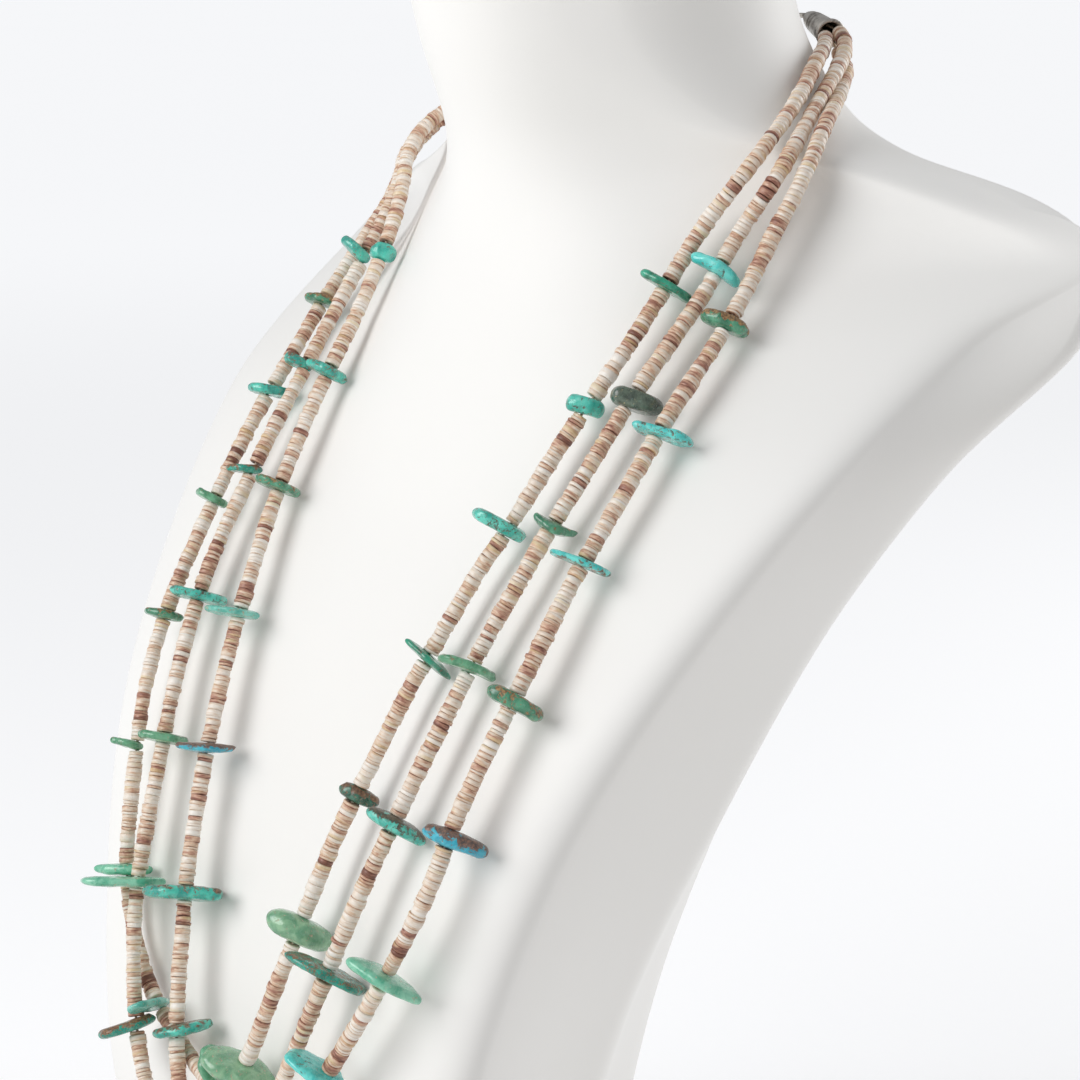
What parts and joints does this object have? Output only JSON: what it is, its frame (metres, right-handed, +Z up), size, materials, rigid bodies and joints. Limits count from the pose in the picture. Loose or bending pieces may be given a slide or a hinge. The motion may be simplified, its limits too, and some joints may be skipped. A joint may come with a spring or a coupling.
{
  "type": "turquoise necklace on a plain neck bust",
  "caption": "Multi-strand necklace of short shell heishi and turquoise tabs between two silver cones, worn by a plain free-standing white neck bust.",
  "frame": {"origin": "middle of the bust's foot, on the surface that it stands on", "axes": "+Z up the bust to the flat top of the neck, -Y out of the chest, +X to the bust's left arm, the side that the picture shows"},
  "size_m": [0.2754, 0.2044, 0.39],
  "materials": {
    "bust": "matte white",
    "shell": "satin shell in cream, tan and pinkish brown; matte_plastic stands in for shell",
    "turquoise": "polished stone in sky blue to green with brown matrix; gloss_plastic stands in for turquoise",
    "thread": "waxed thread",
    "silver": "tarnished silver; brushed_steel stands in for silver"
  },
  "bodies": {
    "root": {"bust": "bust", "clasp": "silver", "cone_far": "silver", "cone_near": "silver", "string_long": "shell", "string_middle": "shell", "string_short": "shell", "tab_long_1": "turquoise", "tab_long_10": "turquoise", "tab_long_11": "turquoise", "tab_long_12": "turquoise", "tab_long_13": "turquoise", "tab_long_14": "turquoise", "tab_long_15": "turquoise", "tab_long_2": "turquoise", "tab_long_3": "turquoise", "tab_long_4": "turquoise", "tab_long_5": "turquoise", "tab_long_6": "turquoise", "tab_long_7": "turquoise", "tab_long_8": "turquoise", "tab_long_9": "turquoise", "tab_middle_1": "turquoise", "tab_middle_10": "turquoise", "tab_middle_11": "turquoise", "tab_middle_12": "turquoise", "tab_middle_13": "turquoise", "tab_middle_14": "turquoise", "tab_middle_2": "turquoise", "tab_middle_3": "turquoise", "tab_middle_4": "turquoise", "tab_middle_5": "turquoise", "tab_middle_6": "turquoise", "tab_middle_7": "turquoise", "tab_middle_8": "turquoise", "tab_middle_9": "turquoise", "tab_short_1": "turquoise", "tab_short_10": "turquoise", "tab_short_11": "turquoise", "tab_short_12": "turquoise", "tab_short_13": "turquoise", "tab_short_14": "turquoise", "tab_short_15": "turquoise", "tab_short_2": "turquoise", "tab_short_3": "turquoise", "tab_short_4": "turquoise", "tab_short_5": "turquoise", "tab_short_6": "turquoise", "tab_short_7": "turquoise", "tab_short_8": "turquoise", "tab_short_9": "turquoise", "thread_long": "thread", "thread_middle": "thread", "thread_short": "thread"}
  },
  "joints": []
}
